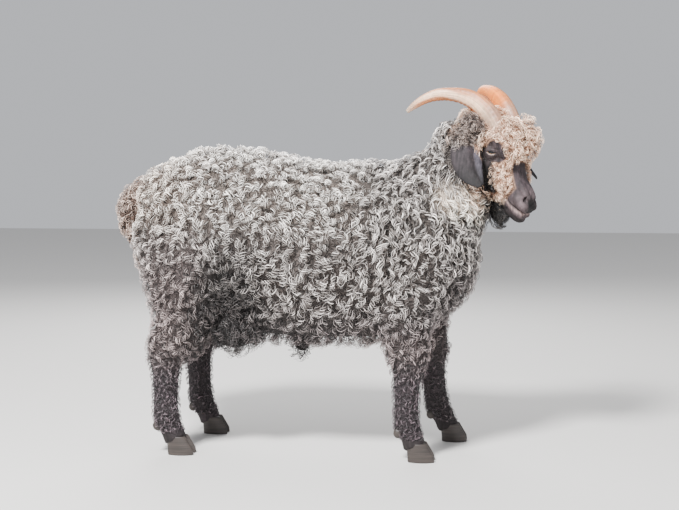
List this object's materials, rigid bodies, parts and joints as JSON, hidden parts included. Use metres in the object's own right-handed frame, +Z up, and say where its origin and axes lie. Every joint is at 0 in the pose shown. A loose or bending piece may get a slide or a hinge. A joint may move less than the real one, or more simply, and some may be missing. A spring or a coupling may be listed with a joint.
{
  "type": "angora goat",
  "caption": "Life-size standing angora goat with curled fleece, swept-back horns, hanging ears and its head turned to its right.",
  "frame": {"origin": "on the ground, under the middle of the goat's length", "axes": "+X towards the chest, +Y to the goat's left, +Z up"},
  "size_m": [0.9769, 0.426, 0.8358],
  "materials": {
    "fleece": "matt curled mohair",
    "dark_hair": "matt short hair",
    "horn": "satin keratin",
    "claw": "satin keratin",
    "eye": "polished"
  },
  "bodies": {
    "root": {"torso": "fleece", "neck": "fleece", "head": "fleece", "tail": "fleece", "fore_leg_left_upper": "fleece", "fore_leg_left_lower": "dark_hair", "fore_leg_right_upper": "fleece", "fore_leg_right_lower": "dark_hair", "hind_leg_left_upper": "fleece", "hind_leg_left_lower": "dark_hair", "hind_leg_right_upper": "fleece", "hind_leg_right_lower": "dark_hair", "ear_left": "dark_hair", "ear_right": "dark_hair", "eye_left": "eye", "eye_right": "eye", "horn_left": "horn", "horn_right": "horn", "claw_fore_left_leftward": "claw", "dewclaw_fore_left_leftward": "claw", "claw_fore_left_rightward": "claw", "dewclaw_fore_left_rightward": "claw", "claw_fore_right_leftward": "claw", "dewclaw_fore_right_leftward": "claw", "claw_fore_right_rightward": "claw", "dewclaw_fore_right_rightward": "claw", "claw_hind_left_leftward": "claw", "dewclaw_hind_left_leftward": "claw", "claw_hind_left_rightward": "claw", "dewclaw_hind_left_rightward": "claw", "claw_hind_right_leftward": "claw", "dewclaw_hind_right_leftward": "claw", "claw_hind_right_rightward": "claw", "dewclaw_hind_right_rightward": "claw"}
  },
  "joints": []
}
